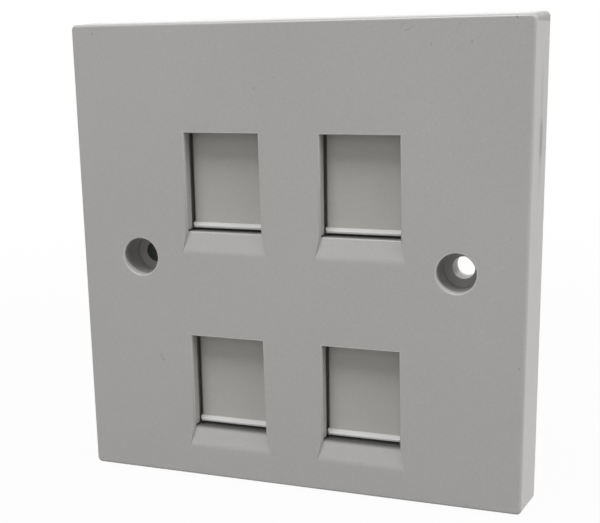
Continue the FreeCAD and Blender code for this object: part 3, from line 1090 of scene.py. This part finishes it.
@dataclass
class ShutterSprings:
    """The eight compression springs, each with closed end turns.

    Attributes:
        wire_mm: Diameter of the wire.
        open_turns: Turns that are spaced out.
        closed_turns: Turns at each end that lie on one another.
        opening_turns: Turns over which the pitch opens, centred on the last closed one's end.
        points_per_turn: Points of the middle line in one turn.
        sides: Points round the wire.
    """

    wire_mm: float = 0.3
    open_turns: float = 10.0
    closed_turns: float = 1.25
    opening_turns: float = 1.0
    points_per_turn: int = 28
    sides: int = 8

    def middle_line(self, low: Vector, high: Vector) -> np.ndarray:
        """Points of the wire's middle line.

        The angle grows evenly. The height is the running sum of a pitch that is one wire
        diameter in the closed turns and opens smoothly to the even pitch between them.

        Args:
            low: Lowest corner of the spring's box.
            high: Highest corner of the spring's box.

        Returns:
            One row for each point.
        """
        turns = self.open_turns + 2 * self.closed_turns
        angle = np.linspace(0, 2 * np.pi * turns, int(turns * self.points_per_turn) + 1)
        turn = angle / (2 * np.pi)
        past_closed = np.minimum(turn, turns - turn) - self.closed_turns
        opening = np.clip(past_closed / self.opening_turns + 1 / 2, 0, 1)
        pitch = opening * opening * (3 - 2 * opening)
        height = np.concatenate(([0.0], np.cumsum((pitch[1:] + pitch[:-1]) / 2)))
        closed = turn * self.wire_mm * MM
        spread = (high.z - low.z) - self.wire_mm * MM - closed[-1]
        z = low.z + self.wire_mm * MM / 2 + closed + height / height[-1] * spread
        radius = (high.x - low.x) / 2 - self.wire_mm * MM / 2
        x = (low.x + high.x) / 2 + radius * np.cos(angle)
        y = (low.y + high.y) / 2 + radius * np.sin(angle)
        return np.stack((x, y, z), axis=1)

    def build(self, finish: DrawnSteel) -> list[bpy.types.Object]:
        """Make every spring, dress it and hang it on the plate."""
        material = finish.material()
        pieces = []
        for joint in frame["joints"]:
            for spring in joint["deforming_nodes"]:
                node = spring["node"]
                low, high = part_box(node)
                path = self.middle_line(low, high)
                radius = np.full(len(path), self.wire_mm * MM / 2)
                piece = tube(node + "_coil", path, radius, self.sides)
                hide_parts(node)
                finish_piece(piece, PLATE_BODY, material)
                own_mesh(piece)
                pieces.append(piece)
        return pieces


# ---------------------------------------------------------------------------
# Studio
# ---------------------------------------------------------------------------


def heading(azimuth_deg: float, elevation_deg: float) -> np.ndarray:
    """Direction from the plate towards a place in the studio.

    Args:
        azimuth_deg: Turn from straight ahead of the front face, towards the plate's right.
        elevation_deg: Angle above level.

    Returns:
        Unit vector.
    """
    azimuth, elevation = math.radians(azimuth_deg), math.radians(elevation_deg)
    level = math.cos(elevation)
    return np.array((math.sin(azimuth) * level, -math.cos(azimuth) * level, math.sin(elevation)))


@dataclass
class Camera:
    """The camera and its lens.

    Attributes:
        place_mm: Where it stands.
        aim_mm: Point on its axis.
        roll_deg: Turn about its axis, clockwise.
        sensor_mm: Width of its sensor.
        lens_mm: Focal length.
        shift: Lens shift, as shares of the picture's width.
        nearest: Nearest distance that it shows.
    """

    place_mm: tuple[float, float, float] = (70.49, -187.78, 36.33)
    aim_mm: tuple[float, float, float] = (4.58, -9.90, -8.24)
    roll_deg: float = 0.79
    sensor_mm: float = 36.0
    lens_mm: float = 65.325
    shift: tuple[float, float] = (-0.025, 0.0833)
    nearest: float = 0.01

    def build(self) -> bpy.types.Object:
        """Make the camera and let the scene look through it."""
        data = bpy.data.cameras.new("camera")
        data.sensor_width = self.sensor_mm
        data.lens = self.lens_mm
        data.shift_x, data.shift_y = self.shift
        data.clip_start = self.nearest
        camera = bpy.data.objects.new("camera", data)
        bpy.context.scene.collection.objects.link(camera)
        place, aim = Vector(self.place_mm) * MM, Vector(self.aim_mm) * MM
        turn = (aim - place).to_track_quat("-Z", "Y").to_matrix().to_4x4()
        roll = Matrix.Rotation(math.radians(-self.roll_deg), 4, "Z")
        camera.matrix_world = Matrix.Translation(place) @ turn @ roll
        bpy.context.scene.camera = camera
        return camera


@dataclass
class SoftBox:
    """A large soft lamp, above and in front of the plate, turned to it.

    Attributes:
        azimuth_deg: Its turn from straight ahead, towards the plate's right.
        elevation_deg: Its angle above level.
        distance: How far off it stands.
        width: Its width.
        height: Its height.
        radiance: Its brightness, where 1 is plain white.
    """

    azimuth_deg: float = -15.0
    elevation_deg: float = 66.0
    distance: float = 1.3
    width: float = 0.6
    height: float = 0.6
    radiance: float = 12.05

    def build(self) -> bpy.types.Object:
        """Make the lamp, with the power that gives its radiance."""
        data = bpy.data.lights.new("soft_box", "AREA")
        data.shape = "RECTANGLE"
        data.size, data.size_y = self.width, self.height
        data.energy = math.pi * self.width * self.height * self.radiance
        lamp = bpy.data.objects.new("soft_box", data)
        bpy.context.scene.collection.objects.link(lamp)
        place = Vector(heading(self.azimuth_deg, self.elevation_deg)) * self.distance
        turn = (-place).to_track_quat("-Z", "Y").to_matrix().to_4x4()
        lamp.matrix_world = Matrix.Translation(place) @ turn
        return lamp


@dataclass(frozen=True)
class Glow:
    """A soft round patch of light on the tent.

    Attributes:
        azimuth_deg: Turn of its middle from straight ahead, towards the plate's right.
        elevation_deg: Angle of its middle above level.
        reach_deg: Angle from its middle at which it has faded out.
        strength: Its brightness in the middle, where 1 is plain white.
    """

    azimuth_deg: float
    elevation_deg: float
    reach_deg: float
    strength: float

    def light(self, network: Network, direction: Signal) -> Signal:
        """Its brightness as seen in a direction."""
        settings = {"operation": "DOT_PRODUCT"}
        middle = tuple(heading(self.azimuth_deg, self.elevation_deg))
        facing = network.node("ShaderNodeVectorMath", settings, {0: direction, 1: middle}, output="Value")
        return facing.angle().ramp(math.radians(self.reach_deg), 0.0) * self.strength


@dataclass
class LightTent:
    """White tent round the plate, with soft light on it in a few places.

    Attributes:
        glows: Its patches of light.
    """

    glows: tuple[Glow, ...] = (
        Glow(45, 20, 40, 0.12),
        Glow(0, 25, 35, 1.62),
        Glow(90, 40, 40, 5.45),
        Glow(180, 12, 75, 1.5),
    )

    def build(self) -> bpy.types.World:
        """Make the world: patches of light, shown as an even white."""
        world = bpy.data.worlds.new("tent")
        bpy.context.scene.world = world
        network = Network(world)
        direction = network.node("ShaderNodeTexCoord", output="Generated")
        light = sum(glow.light(network, direction) for glow in self.glows)
        seen = network.seen()
        strength = light * (1 - seen) + seen
        inputs = {"Color": WHITE, "Strength": strength}
        network.close(network.node("ShaderNodeBackground", inputs=inputs))
        return world


@dataclass
class Floor:
    """The floor: pale, and plain white to the eye except for the plate's shadow.

    Attributes:
        radius: Its radius.
        sides: Number of its corners.
        colour: Its linear colour.
        glow: Share of plain white in how it looks close to the plate.
        fade: Distances from the plate over which that share rises to all of it.
    """

    radius: float = 3.0
    sides: int = 96
    colour: Colour = (0.3, 0.3, 0.3, 1.0)
    glow: float = 0.97
    fade: tuple[float, float] = (0.08, 0.4)

    def build(self) -> bpy.types.Object:
        """Make the floor: a disc whose rim is cos(t) across and sin(t) deep."""
        turn = np.linspace(0, 2 * np.pi, self.sides, endpoint=False)
        level = np.full_like(turn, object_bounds()[0][2])
        points = np.stack((self.radius * np.cos(turn), self.radius * np.sin(turn), level), axis=1)
        piece = new_piece("floor", points, [range(self.sides)])
        network = Network(bpy.data.materials.new("floor_white"))
        matt = network.node("ShaderNodeBsdfDiffuse", inputs={"Color": self.colour})
        white = network.node("ShaderNodeEmission", inputs={"Color": WHITE, "Strength": 1.0})
        x, y, _ = network.axes(network.node("ShaderNodeTexCoord", output="Object"))
        share = (x * x + y * y).root().ramp(*self.fade) * (1 - self.glow) + self.glow
        inputs = {0: network.seen() * share, 1: matt, 2: white}
        network.close(network.node("ShaderNodeMixShader", inputs=inputs))
        piece.data.materials.append(network.owner)
        piece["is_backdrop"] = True
        return piece


def main() -> None:
    """Build every sub-assembly, then the studio."""
    logging.basicConfig(level=logging.INFO, format="%(name)s: %(message)s")
    sills = tuple(sill_height(row) for row in Row)
    # Painted shadow of each lip on its sill.
    sill_shadows = tuple(
        SillShadow(sill, SHADOW_REACH_MM[row], strength=0.92, tone=DARK_TONE, dulling=SHADE_DULLING)
        for sill, row in zip(sills, Row)
    )
    # Painted highlights round the apertures and the counterbores.
    rims = RimHighlights(sills, strength=0.45, tone=PALE_TONE)
    # Painted shade on the shutters' hidden sides.
    flanks = Flanks(strength=0.5, dulling=SHADE_DULLING)
    # Painted light on the shutters' lips.
    lips = LipLight(strength=1.0, tone=LIP_LIGHT_TONE)
    plate_tints = (*sill_shadows, rims, *WALL_LIGHT_AND_SHADE)
    plate_finish = MouldedPlastic("plate_plastic", PLATE_GREY, marks=FACE_MARKS, tints=plate_tints)
    FrontMoulding().build(plate_finish)
    Shutters().build(MouldedPlastic("shutter_plastic", SHUTTER_GREY, tints=(flanks, lips, *sill_shadows)))
    PortFrames().build(MouldedPlastic("frame_plastic", FRAME_GREY, gloss_roughness=0.48))
    ShutterSprings().build(DrawnSteel("spring_wire", SPRING_STEEL))
    FrameScrews().build(DrawnSteel("zinc_plate", ZINC, gloss_roughness=0.34, streak_scale=1.2))
    Camera().build()
    Floor().build()
    LightTent().build()
    SoftBox().build()
    bpy.context.scene.view_settings.view_transform = "Standard"


if __name__ == "__main__":
    main()
